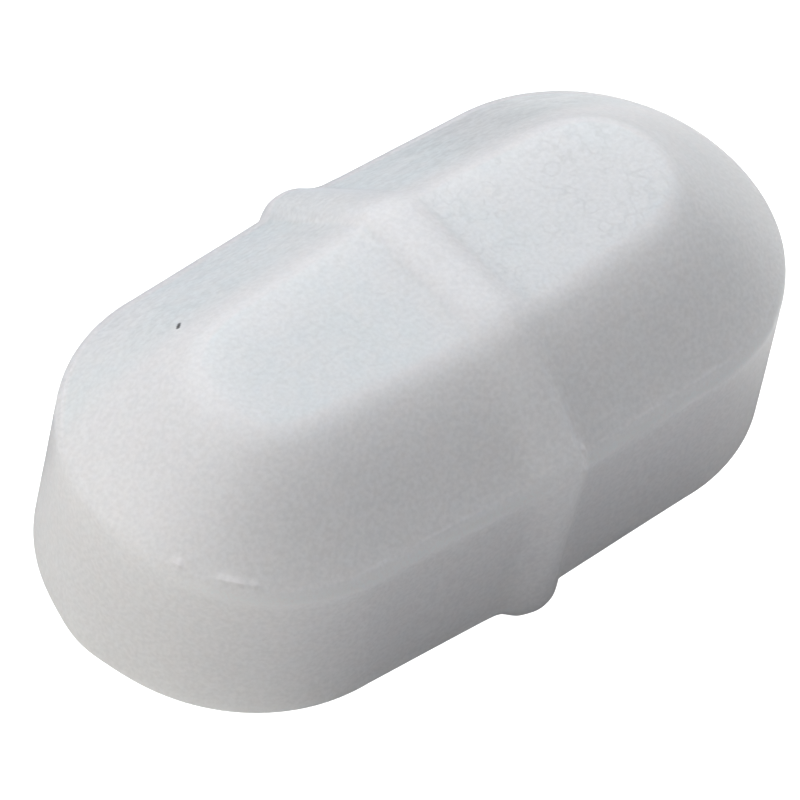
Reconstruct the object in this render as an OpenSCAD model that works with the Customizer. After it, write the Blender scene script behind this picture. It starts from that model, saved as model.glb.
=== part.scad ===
// Octagonal magnetic stir bar with a moulded pivot ring.
// A magnet rod is sealed inside a one-piece fluoropolymer jacket.
// Millimetres. +X runs along the bar, +Z is up, the origin is the bar's centre.

/* [Jacket] */
// Length of the bar over its round ends
bar_length = 16; // [14.5:0.5:40]
// Width across the upright wall at the middle of the bar
middle_width = 8.2; // [7.2:0.1:14]
// Width across the upright wall where the round ends begin
end_width = 7.9; // [7:0.1:12]
// Height between the two flat facets
bar_height = 7.75; // [6.6:0.05:12]
// Height of the upright wall between its two parting lines
wall_height = 3.9; // [1.5:0.1:5.5]
// How far the bevels lean in from the wall to the facets
bevel_inset = 2.45; // [1:0.05:3]
// Ledge that the press tools leave along both parting lines
parting_ledge = 0.12; // [0.02:0.02:0.4]
// Radius of the wall's shoulders beside the parting lines
shoulder_radius = 0.22; // [0.05:0.01:0.6]
// Radius of the soft rim round each facet
facet_radius = 0.6; // [0.1:0.05:0.9]

/* [Pivot ring] */
// Width of the ring where it rises from the bar
ring_width = 1.8; // [1:0.1:4]
// Width of the flat along the ring's crest
ring_crest = 0.24; // [0.1:0.02:0.8]
// Height of the ring's crest above the bar
ring_height = 0.3; // [0.1:0.05:1]
// Radius that softens the ring's corners at its foot
ring_corner_radius = 0.3; // [0.1:0.05:0.8]

/* [Magnet] */
// Length of the magnet rod
magnet_length = 11.5; // [6:0.5:13]
// Diameter of the magnet rod
magnet_diameter = 4.8; // [3:0.1:5.4]
// Chamfer ground on both ends of the rod
magnet_chamfer = 0.3; // [0.05:0.05:0.8]

/* [Hidden] */

jacket_colour = [0.90, 0.92, 0.93];
magnet_colour = [0.44, 0.45, 0.47];

middle_half = middle_width / 2;
end_half = end_width / 2;
half_height = bar_height / 2;
wall_half = wall_height / 2;
end_centre = bar_length / 2 - end_half;

end_sides = 48;        // facets round each revolved end
rounding_sides = 32;   // facets of a full turn on the rounded edges
slice = 0.02;          // thickness of the section held at the bar's middle

ring_foot_depth = 0.1; // how far the ring's edges run into the bar
ring_corner_steps = 5; // facets on each corner of the ring
ring_flank_steps = 6;  // facets from the ring's crest down to its edge

// Corners of the octagonal section, anticlockwise from the right wall's top
function octagon(half_width) =
    let (facet_half = half_width - bevel_inset)
    [
        [half_width, wall_half], [facet_half, half_height],
        [-facet_half, half_height], [-half_width, wall_half],
        [-half_width, -wall_half], [-facet_half, -half_height],
        [facet_half, -half_height], [half_width, -wall_half]
    ];

// Section through the bar's core: an octagon with softened corners
module core_section(half_width) {
    offset(r = facet_radius, $fn = rounding_sides)
        offset(delta = -facet_radius)
            polygon(octagon(half_width - parting_ledge));
}

// Section through the upright wall, with its two rounded shoulders
module wall_section(half_width) {
    offset(r = shoulder_radius, $fn = rounding_sides)
        square([half_width - shoulder_radius, wall_half - shoulder_radius] * 2, center = true);
}

// Stands a flat section across the bar as a thin slice at the middle
module middle_slice() {
    rotate([90, 0, 90])
        linear_extrude(height = slice, center = true)
            children();
}

// Turns the right half of a flat section into a round end
module round_end() {
    rotate_extrude($fn = end_sides)
        intersection() {
            children();
            translate([0, -bar_height])
                square([end_width, 2 * bar_height]);
        }
}

// Stretches a middle section (first child) to two round ends (second child)
module stretched_form() {
    hull() {
        middle_slice() children(0);
        for (side = [-1, 1])
            translate([side * end_centre, 0, 0])
                round_end() children(1);
    }
}

// The octagonal body, drafted from the middle towards both ends
module core() {
    stretched_form() {
        core_section(middle_half);
        core_section(end_half);
    }
}

// The upright wall, which stands proud of the bevels by the parting ledge
module wall() {
    stretched_form() {
        wall_section(middle_half);
        wall_section(end_half);
    }
}

// Directions that the octagon's faces look in, starting with the right wall
bevel_turn = atan2(bevel_inset, half_height - wall_half);
face_turns = [
    0, bevel_turn, 90, 180 - bevel_turn, 180, 180 + bevel_turn, 270, 360 - bevel_turn, 360
];

// Height of the ring above the bar at a distance from its middle: a flat crest,
// then a half wave down to the edge, which dips under the bar's surface
function ring_lift(distance) =
    let (t = max(0, (distance - ring_crest / 2) / ((ring_width - ring_crest) / 2)))
    ring_height * (1 + cos(180 * t)) / 2 - ring_foot_depth * t * t;

// Outline of the ring where it stands `lift` above the bar: the octagon moved
// outwards, with each corner drawn as an arc between its two faces
function ring_outline(lift) =
    let (corners = octagon(middle_half))
    [
        for (k = [0:7])
            let (
                mean_turn = (face_turns[k] + face_turns[k + 1]) / 2,
                half_turn = (face_turns[k + 1] - face_turns[k]) / 2,
                inward = ring_corner_radius / cos(half_turn),
                centre = corners[k] - inward * [cos(mean_turn), sin(mean_turn)]
            )
            for (i = [0:ring_corner_steps])
                let (turn = mean_turn + half_turn * (2 * i / ring_corner_steps - 1))
                centre + (ring_corner_radius + lift) * [cos(turn), sin(turn)]
    ];

// The pivot ring, lofted along X through outlines that rise and fall
module ring() {
    crest_half = ring_crest / 2;
    flank = ring_width / 2 - crest_half;
    right_stations = [
        for (i = [0:ring_flank_steps]) crest_half + flank * i / ring_flank_steps
    ];
    stations = concat(
        [for (i = [ring_flank_steps:-1:0]) -right_stations[i]],
        right_stations
    );
    around = 8 * (ring_corner_steps + 1);
    last = len(stations) - 1;
    points = [
        for (x = stations)
            for (p = ring_outline(ring_lift(abs(x))))
                [x, p[0], p[1]]
    ];
    sides = [
        for (s = [0:last - 1])
            for (i = [0:around - 1])
                let (
                    j = (i + 1) % around,
                    near = s * around,
                    far = near + around
                )
                [near + i, far + i, far + j, near + j]
    ];
    left_cap = [[for (i = [0:around - 1]) i]];
    right_cap = [[for (i = [around - 1:-1:0]) last * around + i]];
    polyhedron(points = points, faces = concat(sides, left_cap, right_cap));
}

// The magnet rod, which the jacket is moulded tightly around
module rod() {
    half = magnet_length / 2;
    radius = magnet_diameter / 2;
    rotate([0, 90, 0])
        rotate_extrude($fn = 96)
            polygon([
                [0, -half], [radius - magnet_chamfer, -half],
                [radius, magnet_chamfer - half], [radius, half - magnet_chamfer],
                [radius - magnet_chamfer, half], [0, half]
            ]);
}

module jacket() {
    color(jacket_colour)
        difference() {
            union() {
                core();
                wall();
                ring();
            }
            rod();
        }
}

module magnet() {
    color(magnet_colour) rod();
}

jacket();
magnet();
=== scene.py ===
"""Looks of an octagonal magnetic stir bar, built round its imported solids.

The bar is a milky white PTFE jacket, pressed and sintered in one piece round a magnet
rod. The jacket's skin is one closed surface worked out with numpy: a plan outline with
straight tapered sides and round ends carries an octagonal half section, a raised pivot
ring is added round the middle, and the moulding's small marks are added along the
surface's normals. A second closed shell inside it is the magnet's tight cavity.

Sizes in the classes are millimetres unless a name says otherwise, and meshes are written
in metres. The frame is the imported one: +X along the bar, +Z up, the origin at the bar's
centre.
"""

from __future__ import annotations

import logging
import math
from dataclasses import dataclass, field
from enum import Enum
from typing import NamedTuple

import bpy
import numpy as np
from bpy.types import ID, Material, Mesh, NodeSocket, NodeTree, Object
from mathutils import Matrix, Vector


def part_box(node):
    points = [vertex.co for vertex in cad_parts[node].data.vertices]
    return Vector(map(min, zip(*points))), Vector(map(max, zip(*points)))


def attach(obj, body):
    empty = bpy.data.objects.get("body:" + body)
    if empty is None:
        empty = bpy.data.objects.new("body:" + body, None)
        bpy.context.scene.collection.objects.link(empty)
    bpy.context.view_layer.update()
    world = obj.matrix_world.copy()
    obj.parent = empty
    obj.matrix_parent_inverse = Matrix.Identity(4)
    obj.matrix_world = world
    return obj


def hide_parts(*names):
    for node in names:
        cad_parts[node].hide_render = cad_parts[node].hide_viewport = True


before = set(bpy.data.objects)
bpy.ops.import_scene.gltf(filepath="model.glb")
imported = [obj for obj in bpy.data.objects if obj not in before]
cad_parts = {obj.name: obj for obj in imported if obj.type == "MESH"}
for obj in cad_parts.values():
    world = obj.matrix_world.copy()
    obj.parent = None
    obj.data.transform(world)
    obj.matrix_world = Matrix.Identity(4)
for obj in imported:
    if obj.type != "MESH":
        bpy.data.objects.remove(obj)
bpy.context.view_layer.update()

LOG = logging.getLogger("stir_bar")
MM = 0.001

# The pair of values between which something rises from 0 to 1
Span = tuple[float, float]
# The pair of a hump's middle and its spread
Hump = tuple[float, float]

# Points that agree to 0.0001 mm are welded to one
WELD_STEPS_PER_MM = 1e4

# Turns the noise lattice off the bar's own axes, so that no rows of cells show
NOISE_TURN = np.array(
    Matrix.Rotation(0.7, 3, "X") @ Matrix.Rotation(0.5, 3, "Y") @ Matrix.Rotation(0.9, 3, "Z")
)
# Keeps every lattice number above zero
NOISE_SHIFT = 1000.0
# Large numbers that mix a lattice corner's place, the seed and the sum's bits to a hash
PLACE_MIX = np.array([73856093, 19349663, 83492791], np.uint64)
SEED_MIX = 2654435761
BIT_MIX = np.uint64(1274126177)
HASH_LEVELS = 65536

# Setting of a Map Range node that rises smoothly and holds both its ends
SMOOTH = {"interpolation_type": "SMOOTHSTEP"}
# Numbers of a Mix node's colour sockets, which share their names with others
SHARE, UNDER, OVER, MIXED = 0, 6, 7, 2


class Side(Enum):
    """The two mirrored halves of the octagonal section."""

    UPPER = 1
    LOWER = -1


class SkinMask(Enum):
    """Where a mark of the skin shows, some of them painted shade or painted highlights. Each is a float
    attribute of the mesh, from 0 to 1.
    """

    FACET = "facet"
    REAR_BEVEL = "rear_bevel"
    # painted shade at the foot and rear half of the ring and outside the facet's right rim
    PAINTED_SHADE = "hollow"
    # painted highlight along the facet's rim
    RIM_HIGHLIGHT = "rim"
    # painted highlight on the front shoulder under the parting line
    SHOULDER_HIGHLIGHT = "shoulder"
    FLASH = "flash"


def linear_colour(hex_code: str) -> tuple[float, float, float, float]:
    """Turns an sRGB hex value into linear red, green and blue with full alpha.

    Args:
        hex_code: Six hex digits after a hash.

    Returns:
        The colour by the sRGB curve: c / 12.92 up to 0.04045, else ((c + 0.055) / 1.055) ** 2.4.
    """
    srgb = [int(hex_code[i : i + 2], 16) / 255 for i in (1, 3, 5)]
    red, green, blue = [c / 12.92 if c <= 0.04045 else ((c + 0.055) / 1.055) ** 2.4 for c in srgb]
    return red, green, blue, 1.0


def per_metre(cell_mm: float) -> float:
    """Repeats in a metre of a pattern whose cells have a size in millimetres."""
    return 1 / (cell_mm * MM)


def direction(azimuth: float, elevation: float) -> Vector:
    """Unit vector towards a place that stands at two angles, seen from the bar.

    Args:
        azimuth: Degrees round the bar, 0 in front of it at -Y and 90 at +X.
        elevation: Degrees above the floor.

    Returns:
        The vector (sin a cos e, -cos a cos e, sin e).
    """
    turn = math.radians(azimuth)
    rise = math.radians(elevation)
    return Vector((math.sin(turn) * math.cos(rise), -math.cos(turn) * math.cos(rise), math.sin(rise)))


def smooth_step(value: np.ndarray, low: float, high: float) -> np.ndarray:
    """Goes from 0 at low to 1 at high as 3 t^2 - 2 t^3, also where low is the larger."""
    t = np.clip((value - low) / (high - low), 0.0, 1.0)
    return t * t * (3 - 2 * t)


def hump(value: np.ndarray, middle: float, spread: float, power: int = 2) -> np.ndarray:
    """Is 1 at the middle and falls off on both sides as exp(-((value - middle) / spread)^power)."""
    return np.exp(-(((value - middle) / spread) ** power))


def lattice_noise(
    points: np.ndarray, cell: float | tuple[float, float, float], seed: int
) -> np.ndarray:
    """Smooth noise between -1 and 1 at 3-D points.

    Every corner of a lattice holds a hashed random value. A point blends the eight
    corners round it with the weights 3 t^2 - 2 t^3 along each axis. A lattice of cubes
    is turned off the bar's axes.

    Args:
        points: Array (..., 3) in millimetres.
        cell: Lattice spacing in millimetres, one for cubes or one along each axis.
        seed: Picks the random values.

    Returns:
        Array (...) of noise.
    """
    turned = points if isinstance(cell, tuple) else points @ NOISE_TURN.T
    scaled = turned / np.array(cell) + NOISE_SHIFT
    base = np.floor(scaled).astype(np.int64)
    weight = smooth_step(scaled - base, 0.0, 1.0)
    total = np.zeros(points.shape[:-1])
    for corner in np.ndindex(2, 2, 2):
        index = (base + np.array(corner)).astype(np.uint64)
        mixed = np.bitwise_xor.reduce(index * PLACE_MIX, axis=-1) ^ np.uint64(seed * SEED_MIX)
        mixed = (mixed ^ (mixed >> np.uint64(13))) * BIT_MIX
        mixed = (mixed ^ (mixed >> np.uint64(16))) % np.uint64(HASH_LEVELS)
        value = 2 * mixed.astype(float) / (HASH_LEVELS - 1) - 1.0
        share = np.where(np.array(corner) == 1, weight, 1 - weight).prod(axis=-1)
        total += value * share
    return total


def graded_stations(limit: float, count: int, extra: float, spread: float) -> np.ndarray:
    """Stations from -limit to limit that stand closer together round the middle.

    The density is 1 + extra * exp(-(x / spread)^4), and stations are cut at equal
    shares of its running sum.

    Args:
        limit: Half length of the run.
        count: Number of intervals.
        extra: How much denser the middle is.
        spread: Half width of the dense middle.

    Returns:
        Array of count + 1 stations.
    """
    samples = 4001
    fine = np.linspace(-limit, limit, samples)
    density = 1 + extra * hump(fine, 0.0, spread, 4)
    running = np.concatenate([[0.0], np.cumsum((density[1:] + density[:-1]) / 2)])
    return np.interp(np.linspace(0, 1, count + 1), running / running[-1], fine)


def band(rows: int) -> np.ndarray:
    """Even shares of a band of rows as a column, from 0 up to but not including 1."""
    return np.linspace(0, 1, rows, endpoint=False)[:, None]


def grid_faces(rows: int, columns: int) -> np.ndarray:
    """Quads of a grid that closes on itself along its columns, wound to face outwards.

    Args:
        rows: Number of rows of points.
        columns: Number of points in a row.

    Returns:
        Array (n, 4) of point numbers, row by row.
    """
    row, column = np.meshgrid(np.arange(rows - 1), np.arange(columns), indexing="ij")
    after = (column + 1) % columns
    corners = [(row, column), (row + 1, column), (row + 1, after), (row, after)]
    return np.stack([r * columns + c for r, c in corners], axis=-1).reshape(-1, 4)


def welded_mesh(
    name: str, points: np.ndarray, quads: np.ndarray, marks: dict[str, np.ndarray]
) -> Mesh:
    """Makes a smooth mesh from a grid whose end rows fold onto a line or a point.

    Points that coincide become one, and a quad that loses a corner becomes a triangle
    or is left out, so seams and poles are closed.

    Args:
        name: Name of the mesh.
        points: Array (n, 3) in millimetres.
        quads: Array (m, 4) of point numbers.
        marks: Float values by attribute name, one for each point.

    Returns:
        The mesh, in metres, with one float attribute for each mark.
    """
    keys = np.round(points * WELD_STEPS_PER_MM).astype(np.int64)
    _, first, number = np.unique(keys, axis=0, return_index=True, return_inverse=True)
    quads = number.reshape(-1)[quads]
    repeats = quads == np.roll(quads, -1, axis=1)
    whole = quads[~repeats.any(axis=1)]
    folded = repeats.sum(axis=1) == 1
    triangles = quads[folded][~repeats[folded]].reshape(-1, 3)
    mesh = bpy.data.meshes.new(name)
    mesh.from_pydata(points[first] * MM, [], whole.tolist() + triangles.tolist())
    mesh.polygons.foreach_set("use_smooth", np.ones(len(mesh.polygons), bool))
    for mark, values in marks.items():
        layer = mesh.attributes.new(mark, "FLOAT", "POINT")
        layer.data.foreach_set("value", values[first].astype(np.float32))
    mesh.update()
    return mesh


def linked_object(name: str, data: ID) -> Object:
    """Puts a mesh, lamp or camera into the scene, at the origin.

    Args:
        name: Name of the object.
        data: What the object shows.

    Returns:
        The new object.
    """
    holder = bpy.data.objects.new(name, data)
    bpy.context.scene.collection.objects.link(holder)
    return holder


def add_node(
    tree: NodeTree,
    kind: str,
    inputs: dict | tuple = (),
    output: str | int = 0,
    **settings: object,
) -> NodeSocket | None:
    """Adds one node with its settings, and fills or links its inputs.

    Args:
        tree: The material's or world's node tree.
        kind: Blender's name of the node type.
        inputs: Values by socket name or number, or in the sockets' own order. A value
            that is another node's output is linked.
        output: Name or number of the output to give back.
        settings: Properties of the node.

    Returns:
        The output, or None from a node that ends its tree.
    """
    node = tree.nodes.new(kind)
    for name, value in settings.items():
        setattr(node, name, value)
    for key, value in inputs.items() if isinstance(inputs, dict) else enumerate(inputs):
        if isinstance(value, NodeSocket):
            tree.links.new(value, node.inputs[key])
        else:
            node.inputs[key].default_value = value
    return node.outputs[output] if node.outputs else None


def empty_material(name: str) -> Material:
    """Makes a new material whose node tree holds nothing yet.

    Args:
        name: Name of the material.

    Returns:
        The material.
    """
    material = bpy.data.materials.new(name)
    material.use_nodes = True
    material.node_tree.nodes.clear()
    return material


@dataclass(frozen=True)
class PlanOutline:
    """Outline of the bar at one height, seen from above.

    Each side runs straight from half width `middle` at x = 0 to `shoulder` where the
    end begins, and the rear side of the right half stands out by up to the share
    `rear_flare`. Each end is half a superellipse: |dx / cap|^power + |y / shoulder|^power = 1.
    """

    reach: float
    middle: float
    shoulder: float
    cap: float
    power: float
    rear_flare: float = 0.0

    def level(self, x: np.ndarray, y: np.ndarray) -> np.ndarray:
        """Tells where points stand by the outline's formula.

        Args:
            x: Places along the bar.
            y: Places across the bar.

        Returns:
            1 on the outline, less inside it and more outside it.
        """
        straight = self.reach - self.cap
        along = np.minimum(np.abs(x) / straight, 1.0)
        width = self.middle + (self.shoulder - self.middle) * along
        width = width * (1 + self.rear_flare * np.clip(x / straight, 0, 1) * (y > 0))
        past = np.maximum(np.abs(x) - straight, 0.0) / self.cap
        return (past**self.power + np.abs(y / width) ** self.power) ** (1 / self.power)

    def distance(self, feet: np.ndarray, headings: np.ndarray) -> np.ndarray:
        """How far the outline lies from each foot along its heading, by repeated halving.

        Args:
            feet: Feet (n, 2) inside the outline.
            headings: Unit headings (n, 2).

        Returns:
            Distances (n).
        """
        halvings = 44
        near = np.zeros(len(feet))
        far = np.full(len(feet), 2 * self.reach)
        for _ in range(halvings):
            half = (near + far) / 2
            at = feet + headings * half[:, None]
            inside = self.level(at[:, 0], at[:, 1]) < 1
            near = np.where(inside, half, near)
            far = np.where(inside, far, half)
        return (near + far) / 2


@dataclass(frozen=True)
class RowCounts:
    """How many rows of the skin each band of one half section gets."""

    facet: int
    rim: int
    bevel: int
    foot: int
    shoulder: int
    wall: int

    @property
    def to_bevel(self) -> int:
        """Rows above the bevel."""
        return self.facet + self.rim

    @property
    def to_foot(self) -> int:
        """Rows above the bevel's foot."""
        return self.to_bevel + self.bevel + self.foot


@dataclass(frozen=True)
class Unevenness:
    """Noise with a height and a cell size, in millimetres or as shares of another height."""

    height: float
    cell: float | tuple[float, float, float]
    seed: int

    def at(self, points: np.ndarray) -> np.ndarray:
        """Heights at 3-D points, between -height and height."""
        return self.height * lattice_noise(points, self.cell, self.seed)


@dataclass(frozen=True)
class PivotRing:
    """The raised ring round the bar's middle, which follows the octagon with soft corners.

    Places round it are given by across, from -1 at the front wall to 1 at the rear, and
    by up, from -1 at the lower facet to 1 at the upper one.
    """

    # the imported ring's height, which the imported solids' box takes in
    packed_height: float = 0.3
    height: float = 0.208
    half_width: float = 0.8
    run_out_span: Span = (1.25, 1.0)

    # the plain corner at the wall's top, and the shares of the ring's height on the wall,
    # read at one level, between which it takes over from foot and ledge
    corner_radius: float = 0.32
    corner_span: Span = (0.05, 0.75)
    wall_level: float = 0.3

    # where the crest stands along the bar and how that changes round the ring
    shift: float = -0.04
    skew: float = 0.02
    tool_shift: float = 0.12
    facet_shift: float = 0.08
    facet_shift_span: Span = (0.7, 1.0)
    lean: float = 0.7

    # how much narrower it is, mostly on one flank below mid wall
    wall_narrow: float = 0.1
    wall_span: Span = (0.52, 0.25)
    lower_wall_span: Span = (0.1, -0.3)
    facet_narrow: float = 0.14
    facet_narrow_span: Span = (0.8, 1.0)

    # how much lower it is at the rear, and in a dip of the front bevel
    rear_low: float = 0.22
    dip: float = 0.6
    dip_hump: Hump = (0.7, 0.34)
    dip_span: Span = (-0.25, -0.42)

    # fillets at its feet, wider on the facets and softest on their front right
    foot: float = 0.02
    facet_foot: float = 0.07
    facet_span: Span = (0.85, 1.0)
    soft_side_span: Span = (0.0, 0.6)
    soft_front_span: Span = (0.2, -0.3)

    def lift(self, x: np.ndarray, across: np.ndarray, up: np.ndarray) -> np.ndarray:
        """Height of the ring above the section at a place round it.

        With t the distance from the crest over the half width, the ring is a round bead,
        height * (1 - low) * (1 - |t|^p) * (1 - lean * across * t), with p = 3 on the
        facets and 2 on the walls and on the soft right flank of the facets' front. So
        it leans one way at the front wall and the other way at the rear. Low grows
        towards the rear wall and in a dip of the front bevel. The press tools stand a
        little off each other, which shifts its upper and lower halves apart. Its feet are
        filleted: the sharp bead b becomes (b + sqrt(b^2 + foot^2)) / 2.

        Args:
            x: Place along the bar.
            across: Place across the bar, from -1 at the front wall to 1 at the rear.
            up: Place in height, from -1 at the lower facet to 1 at the upper one.

        Returns:
            Heights in millimetres.
        """
        level = np.abs(up)
        centre = self.shift + self.skew * across + self.tool_shift * up
        centre = centre + self.facet_shift * smooth_step(up, *self.facet_shift_span)
        slant = 0.5 * self.wall_narrow * smooth_step(up, *self.lower_wall_span)
        centre = centre + slant * self.half_width * across
        narrow = self.wall_narrow * smooth_step(level, *self.wall_span)
        narrow = narrow + self.facet_narrow * smooth_step(level, *self.facet_narrow_span)
        t = (x - centre) / (self.half_width * (1 - narrow))
        low = self.rear_low * np.maximum(across, 0)
        low = low + self.dip * hump(up, *self.dip_hump, 4) * smooth_step(across, *self.dip_span)
        on_facet = smooth_step(level, *self.facet_span)
        soft = smooth_step(t, *self.soft_side_span) * smooth_step(across, *self.soft_front_span)
        soft = soft * on_facet
        power = 3 - np.maximum(across * across, soft)
        bead = self.height * (1 - low) * (1 - np.abs(t) ** power) * (1 - self.lean * across * t)
        foot = self.foot + self.facet_foot * (on_facet + soft)
        return (bead + np.hypot(bead, foot)) / 2 * smooth_step(np.abs(x), *self.run_out_span)


@dataclass(frozen=True)
class FlashBit:
    """A short torn bit of moulding flash on the upper parting line, at a place seen from above."""

    x: float
    y: float
    half_length: float
    height: float


@dataclass(frozen=True)
class PartingFlash:
    """The thin line of flash that the press tools leave at the bevel's foot, and its torn bits."""

    height: float = 0.014
    half_width: float = 0.032
    wander: tuple[Unevenness, ...] = (Unevenness(0.45, 0.9, 11), Unevenness(0.3, 0.25, 12))
    # how far out from the feet the noise is read
    wander_reach: float = 3.5
    left_fade: float = 0.8
    left_span: Span = (-0.75, -0.95)
    torn_rise: float = 0.09
    torn_wander: Unevenness = Unevenness(0.5, 0.12, 13)
    torn_widening: float = 2.2
    torn_widening_height: float = 0.03
    # from this height on, torn flash stands on the ring too
    torn_least: float = 0.01
    # three bits on the left end and three at the ring's feet
    bits: tuple[FlashBit, ...] = (
        FlashBit(x=-7.46, y=-1.59, half_length=0.12, height=0.08),
        FlashBit(x=-6.90, y=-2.49, half_length=0.28, height=0.06),
        FlashBit(x=-6.57, y=-2.79, half_length=0.07, height=0.08),
        FlashBit(x=0.72, y=-3.76, half_length=0.07, height=0.06),
        FlashBit(x=-0.80, y=-3.76, half_length=0.06, height=0.022),
        FlashBit(x=-0.48, y=-3.76, half_length=0.06, height=0.022),
    )

    def lift(
        self, side: Side, feet: np.ndarray, headings: np.ndarray, rim: np.ndarray, past_foot: np.ndarray
    ) -> tuple[np.ndarray, np.ndarray]:
        """Height of the flash above the section.

        The line is height * exp(-(s / half width)^2) with s the distance past the foot.
        Its height wanders along the bar and fades at the left end. The torn bits stand
        on the upper line, a little above the foot, and make it wider.

        Args:
            side: Upper or lower half.
            feet: Feet of the columns.
            headings: Headings of the columns.
            rim: Places of the bevel's foot seen from above, one per column.
            past_foot: Distance past the bevel's foot, (rows, columns).

        Returns:
            Height of line and bits together, and that of the bits alone, each (rows,
            columns).
        """
        place = np.concatenate([feet + headings * self.wander_reach, np.zeros((len(feet), 1))], axis=1)
        height = 1.0
        for wander in self.wander:
            height = height + wander.at(place)
        fade = 1 - self.left_fade * smooth_step(headings[:, 0], *self.left_span)
        height = self.height * height * fade
        torn = np.zeros(len(feet))
        for bit in self.bits:
            away = np.hypot(rim[:, 0] - bit.x, rim[:, 1] - bit.y)
            torn += bit.height * hump(away, 0.0, bit.half_length, 4)
        torn *= (side is Side.UPPER) * (1 + self.torn_wander.at(place))
        widening = self.torn_widening * torn / (torn + self.torn_widening_height)
        spread = self.half_width * (1 + widening)
        torn = torn * hump(past_foot, -self.torn_rise, spread)
        return height * hump(past_foot, 0.0, spread) + torn, torn


@dataclass(frozen=True)
class SectionSizes:
    """Sizes of the half section, one value per column.

    Wall and facet are the distances of the wall and of the facet's corner from the foot,
    rim is the radius of the facet's soft rim, ledge the width of the parting ledge,
    shoulder the radius of the shoulder under it, and crown the height of the front
    bevel's extra crown. Crisp is 1 at the rear right, where the rim is tight and grooved.
    On_side is true along the two sides, and on_ring is 1 where the ring's plain corner
    holds.
    """

    wall: np.ndarray
    facet: np.ndarray
    rim: np.ndarray
    ledge: np.ndarray
    shoulder: np.ndarray
    crown: np.ndarray
    crisp: np.ndarray
    on_side: np.ndarray
    on_ring: np.ndarray


@dataclass(frozen=True)
class SkinPlaces:
    """Where the points of one half of the skin stand, each an array (rows, columns).

    Tilt is the normal's angle from upright, across runs from -1 at the front wall to 1 at
    the rear, lift and torn are the heights of ring and torn flash, and past_rim and
    past_foot are distances down the section from the bevel's top and foot.
    """

    tilt: np.ndarray
    across: np.ndarray
    lift: np.ndarray
    torn: np.ndarray
    past_rim: np.ndarray
    past_foot: np.ndarray


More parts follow.
